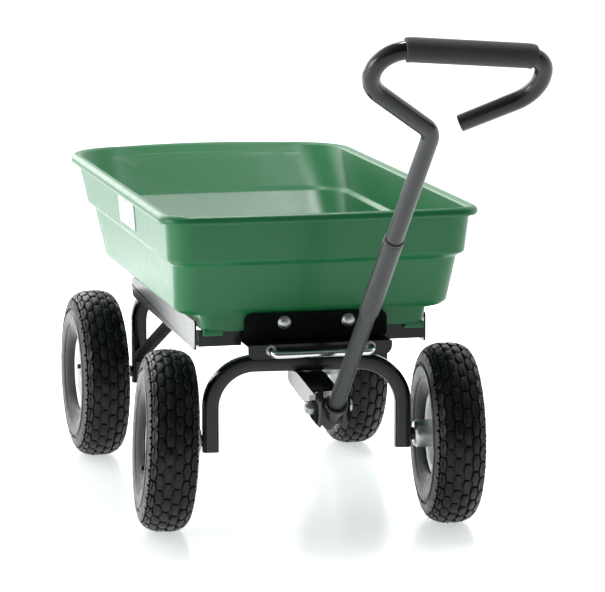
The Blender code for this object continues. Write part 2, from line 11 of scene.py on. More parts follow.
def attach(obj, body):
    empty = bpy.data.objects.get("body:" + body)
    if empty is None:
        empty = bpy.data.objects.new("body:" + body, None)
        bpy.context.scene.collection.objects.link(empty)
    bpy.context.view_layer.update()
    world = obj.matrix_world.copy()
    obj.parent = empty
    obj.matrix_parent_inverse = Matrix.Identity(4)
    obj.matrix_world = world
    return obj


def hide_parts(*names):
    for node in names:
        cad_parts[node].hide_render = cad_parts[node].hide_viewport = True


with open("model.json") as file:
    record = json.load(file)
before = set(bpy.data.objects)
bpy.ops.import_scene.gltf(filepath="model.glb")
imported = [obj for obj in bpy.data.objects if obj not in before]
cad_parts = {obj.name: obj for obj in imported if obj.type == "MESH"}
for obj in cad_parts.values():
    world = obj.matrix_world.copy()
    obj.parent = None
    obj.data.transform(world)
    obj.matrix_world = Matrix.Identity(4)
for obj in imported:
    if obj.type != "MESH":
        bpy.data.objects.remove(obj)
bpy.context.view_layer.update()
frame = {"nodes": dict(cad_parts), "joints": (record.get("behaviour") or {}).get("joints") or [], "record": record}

JOINTS = {joint["name"]: joint for joint in frame["joints"]}
NODES = frame["nodes"]
FRONT_AXLE_Y = JOINTS["front_steer"]["pos_m"][1]
WHEELS = ("front_left", "front_right", "rear_left", "rear_right")

# ---- tub, metres; y counts from the front axle ----
TUB_CORNER_STEPS = 14
TUB_END_STEPS = 8
TUB_SIDE_STEPS = 10
# station: z, half width, front y, rear y, front corner, rear corner, front bow, rear bow, rounding
TUB_OUTSIDE = (
    (0.2958, 0.1500, -0.0370, 0.4100, 0.008, 0.014, 0.000, 0.000, 0.000),
    (0.2958, 0.1600, -0.0470, 0.4200, 0.012, 0.020, 0.000, 0.000, 0.003),
    (0.3190, 0.1640, -0.0495, 0.4420, 0.014, 0.026, 0.000, 0.000, 0.002),
    (0.3212, 0.1900, -0.0505, 0.5350, 0.026, 0.046, 0.001, 0.004, 0.005),
    (0.3270, 0.1985, -0.0550, 0.5480, 0.031, 0.050, 0.002, 0.005, 0.004),
    (0.3945, 0.2050, -0.0850, 0.6240, 0.034, 0.062, 0.003, 0.008, 0.004),
    (0.4010, 0.2145, -0.0965, 0.6380, 0.036, 0.070, 0.004, 0.010, 0.005),
    (0.4560, 0.2190, -0.1080, 0.7160, 0.038, 0.085, 0.005, 0.020, 0.003),
    (0.4572, 0.2262, -0.1168, 0.7358, 0.041, 0.089, 0.006, 0.024, 0.0015),
    (0.4560, 0.2280, -0.1186, 0.7380, 0.042, 0.090, 0.006, 0.024, 0.001),
    (0.4590, 0.2292, -0.1202, 0.7402, 0.043, 0.092, 0.006, 0.025, 0.002),
    (0.4650, 0.2285, -0.1195, 0.7430, 0.043, 0.092, 0.006, 0.026, 0.003),
    (0.4688, 0.2225, -0.1150, 0.7440, 0.040, 0.090, 0.006, 0.026, 0.004),
)
TUB_INSIDE = (
    (0.4660, 0.2125, -0.1060, 0.7345, 0.034, 0.083, 0.005, 0.023, 0.005),
    (0.4070, 0.2095, -0.0925, 0.6380, 0.032, 0.067, 0.004, 0.010, 0.004),
    (0.4020, 0.2025, -0.0840, 0.6270, 0.030, 0.060, 0.003, 0.008, 0.004),
    (0.3330, 0.1955, -0.0520, 0.5455, 0.028, 0.047, 0.002, 0.005, 0.006),
    (0.3243, 0.1860, -0.0475, 0.5320, 0.024, 0.043, 0.001, 0.004, 0.006),
    (0.3235, 0.1610, -0.0465, 0.4390, 0.012, 0.023, 0.000, 0.000, 0.003),
    (0.2998, 0.1565, -0.0440, 0.4170, 0.010, 0.018, 0.000, 0.000, 0.003),
    (0.2998, 0.1465, -0.0340, 0.4070, 0.006, 0.012, 0.000, 0.000, 0.000),
)

VALVE_TURN = {"front_left": 170, "front_right": 60, "rear_left": 64, "rear_right": 20}
LABEL_CORNERS = ((0.2825, 0.4535), (0.1615, 0.4535), (0.1615, 0.4110), (0.2825, 0.4110))

# ---- tyre, metres ----
TYRE_R = 0.1300
TYRE_HALF = 0.03775
TREAD_DEPTH = 0.0034
TREAD_PITCHES = 31
TREAD_END = 0.0500
BEAD_R = 0.0526

# ---- handle and arches, metres ----
PIVOT_Y, PIVOT_Z = -0.092, 0.191
HANDLE_LEAN = 39.4
LOOP_TWIST = -7.5
TUBE_OFFSET = 0.015
TUBE_R, SOCKET_R, UPPER_R, GRIP_R = 0.0115, 0.0138, 0.0120, 0.0160
SOCKET_LOW, SOCKET_TOP = 0.217, 0.362
LOOP = ((0.0, 0.2275), (0.0, 0.5645), (-0.1942, 0.7039), (0.1120, 0.7085), (0.1225, 0.6480),
        (0.0325, 0.5828))
LOOP_BENDS = (0.030, 0.044, 0.030, 0.055)
ARCH_TUBE = 0.0235


# ------------------------------------------------------------------ mesh helpers
def piece(name, bm, material, body, smooth=40):
    """Turn a bmesh into a finished piece that rides on a body."""
    bmesh.ops.remove_doubles(bm, verts=bm.verts, dist=1e-6)
    bmesh.ops.recalc_face_normals(bm, faces=bm.faces)
    mesh = bpy.data.meshes.new(name)
    bm.to_mesh(mesh)
    bm.free()
    made = bpy.data.objects.new(name, mesh)
    bpy.context.scene.collection.objects.link(made)
    mesh.materials.append(material)
    mesh.shade_smooth()
    mesh.set_sharp_from_angle(angle=math.radians(smooth))
    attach(made, body)
    return made


def loft(bm, rings, closed=False, capped=True):
    skins = [[bm.verts.new(p) for p in ring] for ring in rings]
    for a, b in zip(skins, skins[1:] + (skins[:1] if closed else [])):
        for i in range(len(a)):
            j = (i + 1) % len(a)
            bm.faces.new((a[i], a[j], b[j], b[i]))
    if capped and not closed:
        bm.faces.new(skins[0])
        bm.faces.new(list(reversed(skins[-1])))
    return bm


def rounded(points, trims, steps=4):
    """Points of any length with each inner corner replaced by a small curve."""
    out = [points[0]]
    for k in range(1, len(points) - 1):
        before, p, after = points[k - 1], points[k], points[k + 1]
        ends = []
        for q in (before, after):
            gap = math.dist(p, q)
            f = min(0.45, trims[k] / gap)
            ends.append([a + (b - a) * f for a, b in zip(p, q)])
        for s in range(steps + 1):
            t = s / steps
            out.append([(1 - t) ** 2 * a + 2 * t * (1 - t) * m + t * t * b
                        for a, m, b in zip(ends[0], p, ends[1])])
    out.append(points[-1])
    return out


def turn(bm, profile, steps, place, closed=True):
    """Lathe a profile of (along, radius) about the X axis of a placing matrix."""
    rings = []
    for k in range(steps):
        a = 2 * math.pi * k / steps
        rings.append([place @ Vector((u, r * math.sin(a), r * math.cos(a))) for u, r in profile])
    if closed:
        return loft(bm, rings, closed=True)
    columns = [[ring[i] for ring in rings] for i in range(len(profile))]
    return loft(bm, columns)


def arc_path(points, radii, steps):
    """Polyline through points with each inner corner turned into an arc."""
    points = [Vector(p) for p in points]
    out = [points[0]]
    for k in range(1, len(points) - 1):
        p = points[k]
        a, b = (points[k - 1] - p).normalized(), (points[k + 1] - p).normalized()
        half = a.angle(b) / 2
        reach = radii[k - 1] / math.tan(half)
        hub = p + (a + b).normalized() * (radii[k - 1] / math.sin(half))
        start, end = p + a * reach - hub, p + b * reach - hub
        swing = start.angle(end)
        for s in range(steps + 1):
            f = s / steps
            spoke = start * math.sin((1 - f) * swing) + end * math.sin(f * swing)
            out.append(hub + spoke / math.sin(swing))
    out.append(points[-1])
    return out


def circle(radius, sides):
    return [(radius * math.cos(2 * math.pi * i / sides), radius * math.sin(2 * math.pi * i / sides))
            for i in range(sides)]


def rounded_square(width, radius, steps=5):
    half = width / 2 - radius
    out = []
    for quarter, (sx, sy) in enumerate(((1, 1), (-1, 1), (-1, -1), (1, -1))):
        for k in range(steps + 1):
            a = math.pi / 2 * (quarter + k / steps)
            out.append((sx * half + radius * math.cos(a), sy * half + radius * math.sin(a)))
    return out


def section_rings(path, sections, up):
    """Rings of a section (or one section per point) carried along a path in one plane."""
    rings = []
    for k, p in enumerate(path):
        before = (p - path[k - 1]).normalized() if k else None
        after = (path[k + 1] - p).normalized() if k < len(path) - 1 else None
        along = ((before or after) + (after or before)).normalized()
        side = up.cross(along).normalized()
        section = sections[k] if isinstance(sections[0], list) else sections
        rings.append([p + side * u + up * v for u, v in section])
    return rings


def box(bm, low, high, bevel=0.0):
    made = bmesh.ops.create_cube(bm, size=1.0)["verts"]
    for v in made:
        v.co = Vector([(low[i] + high[i]) / 2 + v.co[i] * (high[i] - low[i]) for i in range(3)])
    if bevel:
        edges = list({e for v in made for e in v.link_edges})
        bmesh.ops.bevel(bm, geom=edges, offset=bevel, segments=2, affect="EDGES", profile=0.6)
    return bm


# ------------------------------------------------------------------ materials
def material(name, colour, metallic=0.0, roughness=0.4, coat=0.0):
    made = bpy.data.materials.new(name)
    made.use_nodes = True
    shader = made.node_tree.nodes["Principled BSDF"]
    shader.inputs["Base Color"].default_value = (*colour, 1.0)
    shader.inputs["Metallic"].default_value = metallic
    shader.inputs["Roughness"].default_value = roughness
    shader.inputs["Coat Weight"].default_value = coat
    return made, made.node_tree, shader


def noise(tree, scale, detail=3.0, stretch=None):
    coords = tree.nodes.new("ShaderNodeTexCoord")
    source = coords.outputs["Object"]
    if stretch:
        mapping = tree.nodes.new("ShaderNodeMapping")
        mapping.inputs["Scale"].default_value = stretch
        tree.links.new(source, mapping.inputs["Vector"])
        source = mapping.outputs["Vector"]
    made = tree.nodes.new("ShaderNodeTexNoise")
    made.inputs["Scale"].default_value = scale
    made.inputs["Detail"].default_value = detail
    tree.links.new(source, made.inputs["Vector"])
    return made.outputs["Fac"]


def ramp(tree, source, stops):
    made = tree.nodes.new("ShaderNodeValToRGB")
    made.color_ramp.elements[0].position, first = stops[0]
    made.color_ramp.elements[1].position, last = stops[-1]
    made.color_ramp.elements[0].color = first
    made.color_ramp.elements[1].color = last
    tree.links.new(source, made.inputs["Fac"])
    return made.outputs["Color"]


def grey(value):
    return (value, value, value, 1.0)


def bump(tree, shader, source, strength, distance):
    made = tree.nodes.new("ShaderNodeBump")
    made.inputs["Strength"].default_value = strength
    made.inputs["Distance"].default_value = distance
    tree.links.new(source, made.inputs["Height"])
    tree.links.new(made.outputs["Normal"], shader.inputs["Normal"])


def moulded_green():
    made, tree, shader = material("tub_green", (0.016, 0.156, 0.054), 0.0, 0.30)
    shader.inputs["Specular IOR Level"].default_value = 0.34
    tone = ramp(tree, noise(tree, 5.0), [(0.3, (0.015, 0.151, 0.052, 1)), (0.7, (0.017, 0.161, 0.056, 1))])
    tree.links.new(tone, shader.inputs["Base Color"])
    wear = ramp(tree, noise(tree, 60.0, 4.0), [(0.35, grey(0.290)), (0.7, grey(0.325))])
    tree.links.new(wear, shader.inputs["Roughness"])
    bump(tree, shader, noise(tree, 90.0, 1.0), 0.02, 0.0004)
    return made


def gloss_black(name="frame_black", shine=0.5, coat=0.0):
    made, tree, shader = material(name, (0.006, 0.007, 0.007), 0.0, 0.22)
    shader.inputs["Specular IOR Level"].default_value = shine
    shader.inputs["Coat Weight"].default_value = coat
    shader.inputs["Coat Roughness"].default_value = 0.08
    tone = ramp(tree, noise(tree, 30.0),
                [(0.3, (0.004, 0.005, 0.005, 1)), (0.75, (0.009, 0.010, 0.010, 1))])
    tree.links.new(tone, shader.inputs["Base Color"])
    rough = 0.64 - 0.9 * shine
    peel = ramp(tree, noise(tree, 220.0), [(0.3, grey(rough - 0.05)), (0.7, grey(rough + 0.05))])
    tree.links.new(peel, shader.inputs["Roughness"])
    bump(tree, shader, noise(tree, 160.0, 1.5), 0.06, 0.0004)
    return made


def satin_grey():
    """Satin grey on the long tubes; above a set height on the hand loop the colour turns near-black and the
    roughness drops.
    """
    made, tree, shader = material("handle_grey", (0.045, 0.047, 0.049), 0.0, 0.42)
    coords = tree.nodes.new("ShaderNodeTexCoord")
    split = tree.nodes.new("ShaderNodeSeparateXYZ")
    tree.links.new(coords.outputs["Object"], split.inputs["Vector"])
    height = tree.nodes.new("ShaderNodeMapRange")
    height.inputs["From Min"].default_value = 0.600
    height.inputs["From Max"].default_value = 0.665
    tree.links.new(split.outputs["Z"], height.inputs["Value"])
    speck = ramp(tree, noise(tree, 500.0, 4.0),
                 [(0.35, (0.028, 0.030, 0.031, 1)), (0.7, (0.040, 0.042, 0.043, 1))])
    # darker towards the top of the loop, by height
    mix = tree.nodes.new("ShaderNodeMix")
    mix.data_type = "RGBA"
    tree.links.new(height.outputs["Result"], mix.inputs["Factor"])
    tree.links.new(speck, mix.inputs["A"])
    mix.inputs["B"].default_value = (0.006, 0.007, 0.007, 1)
    tree.links.new(mix.outputs["Result"], shader.inputs["Base Color"])
    shine = ramp(tree, height.outputs["Result"], [(0.0, grey(0.36)), (1.0, grey(0.15))])
    tree.links.new(shine, shader.inputs["Roughness"])
    bump(tree, shader, noise(tree, 700.0, 2.0), 0.10, 0.0003)
    return made


def rubber(name="tyre_rubber", base=0.004, dust=0.015, rough=(0.28, 0.46)):
    made, tree, shader = material(name, (base, base, base), 0.0, 0.55)
    shader.inputs["Specular IOR Level"].default_value = 0.24
    tone = ramp(tree, noise(tree, 45.0, 5.0), [(0.35, grey(base)), (0.75, grey(dust))])
    tree.links.new(tone, shader.inputs["Base Color"])
    worn = ramp(tree, noise(tree, 90.0, 4.0), [(0.3, grey(rough[0])), (0.7, grey(rough[1]))])
    tree.links.new(worn, shader.inputs["Roughness"])
    bump(tree, shader, noise(tree, 350.0, 4.0), 0.35, 0.0005)
    return made


def foam():
    made, tree, shader = material("grip_foam", (0.040, 0.042, 0.043), 0.0, 0.85)
    shader.inputs["Sheen Weight"].default_value = 0.25
    shader.inputs["Sheen Roughness"].default_value = 0.5
    tone = ramp(tree, noise(tree, 1200.0, 3.0), [(0.35, grey(0.030)), (0.7, grey(0.052))])
    tree.links.new(tone, shader.inputs["Base Color"])
    bump(tree, shader, noise(tree, 1500.0, 3.0), 0.5, 0.0004)
    return made


def silver_paint():
    made, tree, shader = material("rim_silver", (0.88, 0.89, 0.90), 0.0, 0.30)
    tone = ramp(tree, noise(tree, 120.0, 4.0), [(0.3, (0.86, 0.87, 0.88, 1)), (0.7, (0.91, 0.92, 0.93, 1))])
    tree.links.new(tone, shader.inputs["Base Color"])
    bump(tree, shader, noise(tree, 800.0, 2.0), 0.08, 0.0003)
    return made


def zinc():
    made, tree, shader = material("zinc_fasteners", (0.62, 0.63, 0.63), 1.0, 0.34)
    tone = ramp(tree, noise(tree, 180.0, 4.0), [(0.3, (0.50, 0.51, 0.52, 1)), (0.7, (0.74, 0.75, 0.74, 1))])
    tree.links.new(tone, shader.inputs["Base Color"])
    worn = ramp(tree, noise(tree, 260.0), [(0.3, grey(0.29)), (0.7, grey(0.42))])
    tree.links.new(worn, shader.inputs["Roughness"])
    return made


def chrome():
    made, tree, shader = material("bail_chrome", (0.80, 0.81, 0.82), 1.0, 0.10)
    worn = ramp(tree, noise(tree, 150.0), [(0.3, grey(0.07)), (0.7, grey(0.15))])
    tree.links.new(worn, shader.inputs["Roughness"])
    return made


def label_paper():
    made, tree, shader = material("label_paper", (0.50, 0.54, 0.52), 0.0, 0.5)
    tone = ramp(tree, noise(tree, 90.0), [(0.3, (0.46, 0.50, 0.48, 1)), (0.7, (0.54, 0.58, 0.56, 1))])
    tree.links.new(tone, shader.inputs["Base Color"])
    return made


GREEN, BLACK, ANTHRACITE = moulded_green(), gloss_black(), satin_grey()
# frame_black_painted_shade is a copy of the frame paint with its reflections turned almost off: painted shade, so
# the brace and latch plate read dark
SHADED_BLACK_COPY, DEEP_BLACK = gloss_black("frame_black_painted_shade", 0.02), gloss_black("frame_black_deep", 0.5, 1.0)
RUBBER, FOAM, SILVER, ZINC, CHROME = rubber(), foam(), silver_paint(), zinc(), chrome()
LOOKS = {"tub_green": GREEN, "frame_black": BLACK, "handle_grey": ANTHRACITE, "tyre_rubber": RUBBER,
         "grip_foam": FOAM, "rim_silver": SILVER, "zinc_fasteners": ZINC, "bail_chrome": CHROME}
# painted shade: the latch plate takes the shaded copy of the frame paint
SPECIAL = {"tongue_bracket": DEEP_BLACK, "latch_plate": SHADED_BLACK_COPY}
SLOTS = {part["node"]: part["material_slot"] for part in frame["record"]["subparts"]}
for node_name, node in NODES.items():
    node.data.materials.clear()
    node.data.materials.append(SPECIAL.get(node_name, LOOKS[SLOTS[node_name]]))


# ------------------------------------------------------------------ tub
def tub_ring(z, half, front, rear, r_front, r_rear, bow_front, bow_rear):
    front, rear = front + FRONT_AXLE_Y, rear + FRONT_AXLE_Y
    points = []
    for end, r, bow, sign in ((rear, r_rear, bow_rear, 1), (front, r_front, bow_front, -1)):
        base, centre_x = end - sign * bow, half - r
        turn_from = 0.0 if sign > 0 else math.pi
        for quarter in (0, 1):
            for k in range(TUB_CORNER_STEPS + 1):
                a = turn_from + math.pi / 2 * (quarter + k / TUB_CORNER_STEPS)
                x = sign * centre_x * (1 - 2 * quarter)
                points.append((x + r * math.cos(a), base - sign * r + r * math.sin(a), z))
            if quarter == 0:
                for k in range(1, TUB_END_STEPS):
                    x = sign * centre_x * (1 - 2 * k / TUB_END_STEPS)
                    points.append((x, base + sign * bow * (1 - (x / centre_x) ** 2), z))
        start = points[-1]
        other = (front, r_front, bow_front) if sign > 0 else (rear, r_rear, bow_rear)
        goal = (start[0], other[0] + sign * (other[2] + other[1]), z)
        for k in range(1, TUB_SIDE_STEPS):
            f = k / TUB_SIDE_STEPS
            points.append((start[0], start[1] + (goal[1] - start[1]) * f, z))
    return points


def make_tub():
    stations = TUB_OUTSIDE + TUB_INSIDE
    smooth_line = rounded([s[:8] for s in stations], [s[8] for s in stations])
    bm = bmesh.new()
    loft(bm, [tub_ring(*station) for station in smooth_line])
    for sx in (-1, 1):
        low, high = sorted((sx * 0.1320, sx * 0.1600))
        box(bm, (low, FRONT_AXLE_Y - 0.0474, 0.2895), (high, FRONT_AXLE_Y - 0.0386, 0.2990), 0.0015)
    tub = piece("tub_shell", bm, GREEN, "tub", smooth=50)
    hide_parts("tub")


def make_label():
    """Blank paper label on the upper left wall, laid on the sloping sheet."""
    low, high = TUB_OUTSIDE[6], TUB_OUTSIDE[7]
    rings = []
    for lift in (0.0002, 0.0008):
        ring = []
        for along, up in LABEL_CORNERS:
            f = (up - low[0]) / (high[0] - low[0])
            half = low[1] + (high[1] - low[1]) * f
            ring.append(Vector((-half - lift, FRONT_AXLE_Y + along, up)))
        rings.append(ring)
    bm = bmesh.new()
    loft(bm, rings)
    piece("blank_label", bm, label_paper(), "tub")


make_tub()
make_label()


# ------------------------------------------------------------------ wheels
def wheel_place(name):
    """Matrix whose X axis is the wheel's axle, at the wheel's centre."""
    joint = JOINTS[f"wheel_{name}_spin"]
    along = Vector(joint["axis"]).normalized()
    back = Vector((0, 0, 1)).cross(along).normalized()
    up = along.cross(back)
    turned = Matrix((along, back, up)).transposed().to_4x4()
    return Matrix.Translation(joint["pos_m"]) @ turned


def tread_curve():
    """Outer line of the tread by arc length from the centre: (length, along, radius, normal)."""
    corners = [(0.0, TYRE_R), (0.0150, TYRE_R - 0.0004), (0.0290, TYRE_R - 0.0065),
               (TYRE_HALF - 0.0018, TYRE_R - 0.0185), (TYRE_HALF, TYRE_R - 0.0350)]
    line = rounded(corners, [0.0, 0.0065, 0.0070, 0.0060, 0.0], 8)
    out, length = [], 0.0
    for k, (u, r) in enumerate(line):
        if k:
            length += math.dist(line[k - 1], line[k])
        a, b = line[max(k - 1, 0)], line[min(k + 1, len(line) - 1)]
        du, dr = b[0] - a[0], b[1] - a[1]
        size = math.hypot(du, dr)
        out.append((length, u, r, -dr / size, du / size))
    return out


TREAD = tread_curve()


def on_tread(s, height):
    """Place on the tread at arc length s (either side), height above the groove floor."""
    side, s = (1 if s >= 0 else -1), abs(s)
    k = 1
    while k < len(TREAD) - 1 and TREAD[k][0] < s:
        k += 1
    a, b = TREAD[k - 1], TREAD[k]
    f = (s - a[0]) / (b[0] - a[0])
    u, r, nu, nr = (a[i] + (b[i] - a[i]) * f for i in range(1, 5))
    lift = height - TREAD_DEPTH
    return side * (u + nu * lift), r + nr * lift


# block outlines: across in metres away from the row's middle (positive is outward), along in half pitches
HEXAGON = ((0.0060, 0.0), (0.0035, 0.91), (-0.0035, 0.91), (-0.0060, 0.0), (-0.0035, -0.91),
           (0.0035, -0.91))
SIPED = ((0.0058, 0.05), (0.0044, 0.90), (-0.0036, 0.90), (-0.0058, 0.0), (-0.0036, -0.90),
         (-0.0010, -0.90), (-0.0010, -0.34), (0.0004, -0.22), (0.0004, 0.30), (0.0018, 0.30),
         (0.0018, -0.34), (0.0006, -0.46), (0.0006, -0.90), (0.0044, -0.90))
LUG = ((0.0085, 1.0), (0.0012, 1.0), (-0.0024, 0.88), (-0.0060, 0.80), (-0.0072, 0.54), (-0.0044, 0.36),
       (-0.0064, 0.12), (-0.0064, -0.12), (-0.0036, -0.32), (-0.0072, -0.52), (-0.0060, -0.80),
       (-0.0024, -0.88), (0.0012, -1.0), (0.0085, -1.0))
# row: middle of the row by arc length, outline, corner rounding, phase in pitches, bevelled lengthwise
TREAD_ROWS = (
    (0.0066, HEXAGON, 0.0016, 0.0, 1),
    (0.0192, HEXAGON, 0.0016, 0.5, 1),
    (0.0302, SIPED, 0.0005, 0.0, 1),
    (0.0436, LUG, 0.0008, 0.5, 0),
)


def tread_block(bm, place, side, row, index):
    """One moulded block wrapped on the tread, with a narrow bevel round its top."""
    centre, outline, trim, phase, lengthwise = row
    pitch = 2 * math.pi / TREAD_PITCHES
    reach = math.pi * TYRE_R / TREAD_PITCHES
    corners = [(across, along * reach) for across, along in outline]
    soft = []
    for k, corner in enumerate(corners):
        soft += rounded([corners[k - 1], corner, corners[(k + 1) % len(corners)]], [0, trim, 0], 2)[1:-1]
    rings = []
    for shrink, height in ((1.04, -0.0006), (1.0, TREAD_DEPTH * 0.62), (0.96, TREAD_DEPTH * 0.90),
                           (0.90, TREAD_DEPTH)):
        ring = []
        for across, along in soft:
            u, r = on_tread(side * (centre + across * shrink), height)
            place_in_row = (index + phase + (0.35 if side < 0 else 0.0)) * pitch
            angle = place_in_row + side * along * (shrink if lengthwise else 1) / TYRE_R
            ring.append(bm.verts.new(place @ Vector((u, r * math.sin(angle), r * math.cos(angle)))))
        rings.append(ring)
    for a, b in zip(rings, rings[1:]):
        for i in range(len(a)):
            j = (i + 1) % len(a)
            bm.faces.new((a[i], a[j], b[j], b[i]))
    bm.faces.new(rings[-1])
    bm.faces.new(list(reversed(rings[0])))


def make_tyre(name, place, rng):
    tread = []
    for k in range(31):
        s = TREAD_END * k / 30
        tread.append(on_tread(s, 0.0))
    shoulder = [(TYRE_HALF - 0.0022, 0.0985), (TYRE_HALF - 0.0004, 0.0972), (TYRE_HALF, 0.0955),
                (TYRE_HALF - 0.0002, 0.0905), (0.0366, 0.0840), (0.0352, 0.0795), (0.0338, 0.0780),
                (0.0336, 0.0762),
                (0.0312, 0.0705), (0.0282, 0.0655), (0.0254, 0.0622), (0.0234, 0.0602), (0.0216, 0.0604),
                (0.0206, BEAD_R)]
    side = tread + rounded(shoulder, [0.0015] * len(shoulder), 2)
    inner = [(0.0170, BEAD_R), (0.0290, 0.0820), (0.0240, 0.1100)]
    profile = ([(-u, r) for u, r in reversed(side[1:])] + side + inner
               + [(-u, r) for u, r in reversed(inner)])
    bm = bmesh.new()
    turn(bm, profile, 128, place)
    for side_sign in (-1, 1):
        for row in TREAD_ROWS:
            for index in range(TREAD_PITCHES):
                tread_block(bm, place, side_sign, row, index)
    for _ in range(70):
        # moulding hairs
        s = rng.uniform(-0.043, 0.043)
        angle = rng.uniform(0, 2 * math.pi)
        length = rng.uniform(0.0015, 0.0045)
        u0, r0 = on_tread(s, TREAD_DEPTH - 0.0005)
        u1, r1 = on_tread(s, TREAD_DEPTH + length)
        lean = rng.uniform(-0.012, 0.012)
        root = place @ Vector((u0, r0 * math.sin(angle), r0 * math.cos(angle)))
        tip = place @ Vector((u1, r1 * math.sin(angle + lean), r1 * math.cos(angle + lean)))
        hair = bmesh.ops.create_cone(bm, cap_ends=True, segments=5, radius1=0.0004, radius2=0.0002,
                                     depth=(tip - root).length)["verts"]
        aim = (Matrix.Translation((root + tip) / 2)
               @ (tip - root).to_track_quat("Z", "Y").to_matrix().to_4x4())
        bmesh.ops.transform(bm, matrix=aim, verts=hair)
    tyre = piece("tyre_tread_" + name, bm, RUBBER, "wheel_" + name, smooth=38)
    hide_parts("tyre_" + name)


def make_rim(name, place):
    flange = [(0.0204, 0.0519), (0.0210, 0.0590), (0.0216, 0.0598), (0.0226, 0.0594), (0.0222, 0.0570),
              (0.0212, 0.0500), (0.0150, 0.0492), (0.0110, 0.0460), (0.0070, 0.0400), (0.0040, 0.0300),
              (0.0016, 0.0245), (0.0016, 0.0201)]
    line = rounded(flange, [0, 0.001, 0.0008, 0.001, 0.002, 0.003, 0.003, 0.003, 0.003, 0.003, 0.002, 0], 3)
    profile = line + [(-u, r) for u, r in reversed(line)]
    bm = bmesh.new()
    turn(bm, profile, 112, place)
    rim = piece("rim_dish_" + name, bm, SILVER, "wheel_" + name, smooth=45)
    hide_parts("rim_" + name)


def make_hub(name, place, outward):
    hub_in, hub_out, hub_r, bore = -outward * 0.0495, outward * 0.0145, 0.0198, 0.0081
    corners = [(hub_in, bore), (hub_out, bore), (hub_out, hub_r), (hub_in + outward * 0.0040, hub_r),
               (hub_in, hub_r - 0.0030), (hub_in, bore)]
    line = rounded(corners, [0, 0.0008, 0.0015, 0.0008, 0.0008, 0], 2)
    bm = bmesh.new()
    turn(bm, line[:-1], 72, place)
    hub = piece("hub_sleeve_" + name, bm, ZINC, "wheel_" + name, smooth=40)
    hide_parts("hub_" + name)


def make_valve(name, place, outward):
    """Snap-in rubber valve with a thick foot and a narrower cap."""
    line = [(0.0, 0.0040), (0.0025, 0.0056), (0.0110, 0.0048), (0.0150, 0.0034), (0.0165, 0.0034),
            (0.0172, 0.0038), (0.0262, 0.0036), (0.0270, 0.0028)]
    bm = bmesh.new()
    seat = (place @ Matrix.Rotation(math.radians(VALVE_TURN[name]), 4, "X")
            @ Matrix.Translation((0, 0, 0.0400)))
    if outward < 0:
        seat = seat @ Matrix.Rotation(math.pi, 4, "Z")
    seat = seat @ Matrix.Translation((0.0075, 0, 0))
    turn(bm, rounded(line, [0, 0.001, 0.002, 0.001, 0.0004, 0.0004, 0.0006, 0], 3), 28, seat, closed=False)
    valve = piece("valve_stem_" + name, bm, RUBBER, "wheel_" + name)
    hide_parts("valve_" + name)


hairs = random.Random(7)
for wheel_name in WHEELS:
    spot = wheel_place(wheel_name)
    out_sign = -1 if wheel_name.endswith("left") else 1
    make_tyre(wheel_name, spot, hairs)
    make_rim(wheel_name, spot)
    make_hub(wheel_name, spot, out_sign)
    make_valve(wheel_name, spot, out_sign)


# ------------------------------------------------------------------ handle and arches
def king_frame(joint_name):
    """Upright frame on the king pin, turned so that its X axis lies along the joint's level axis."""
    along = Vector(JOINTS[joint_name]["axis"])
    return Matrix.Translation((0, FRONT_AXLE_Y, 0)) @ Matrix.Rotation(math.atan2(along.y, along.x), 4, "Z")


TONGUE_FRAME = king_frame("handle_lean")
STEER_FRAME = king_frame("wheel_front_right_spin")
PULL_FRAME = (TONGUE_FRAME @ Matrix.Translation((0, PIVOT_Y, PIVOT_Z))
              @ Matrix.Rotation(math.radians(HANDLE_LEAN), 4, "X")
              @ Matrix.Translation((0, -TUBE_OFFSET, 0)))
LOOP_FRAME = PULL_FRAME @ Matrix.Rotation(math.radians(LOOP_TWIST), 4, "Z")
ACROSS = Vector((0, 1, 0))


def make_pull_tube():
    """Lower tube with a wider socket: crimped neck below, rolled mouth above."""
    rings = []
    line = [(0.0064, TUBE_R), (0.2085, TUBE_R), (0.2120, TUBE_R + 0.0006),
            (SOCKET_LOW - 0.0010, SOCKET_R - 0.0002),
            (SOCKET_LOW + 0.0015, SOCKET_R), (0.2290, SOCKET_R), (0.3500, SOCKET_R),
            (SOCKET_TOP - 0.0045, SOCKET_R), (SOCKET_TOP - 0.0035, SOCKET_R - 0.0005),
            (SOCKET_TOP - 0.0025, SOCKET_R), (SOCKET_TOP - 0.0008, SOCKET_R),
            (SOCKET_TOP, SOCKET_R - 0.0006), (SOCKET_TOP, UPPER_R + 0.0004),
            (SOCKET_TOP - 0.004, UPPER_R + 0.0003)]
    for z, r in line:
        rings.append([PULL_FRAME @ Vector((u, v, z)) for u, v in circle(r, 40)])
    bm = bmesh.new()
    loft(bm, rings)
    tube = piece("pull_tube_painted", bm, ANTHRACITE, "handle", smooth=35)
    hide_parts("pull_tube")


def make_hand_loop():
    """One bent tube with an open, slightly turned-in end."""
    path = arc_path([(x, 0, z) for x, z in LOOP], LOOP_BENDS, 20)
    end, back = path[-1], (path[-2] - path[-1]).normalized()
    outside = [circle(UPPER_R, 36)] * (len(path) - 1) + [circle(UPPER_R - 0.0006, 36)]
    rings = section_rings(path, outside, ACROSS)
    inside = section_rings([end + back * 0.02, end], circle(UPPER_R - 0.0018, 36), ACROSS)
    rings += [inside[1], inside[0]]
    bm = bmesh.new()
    loft(bm, [[LOOP_FRAME @ p for p in ring] for ring in rings])
    loop = piece("hand_loop_bent", bm, ANTHRACITE, "handle", smooth=50)
    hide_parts("hand_loop")


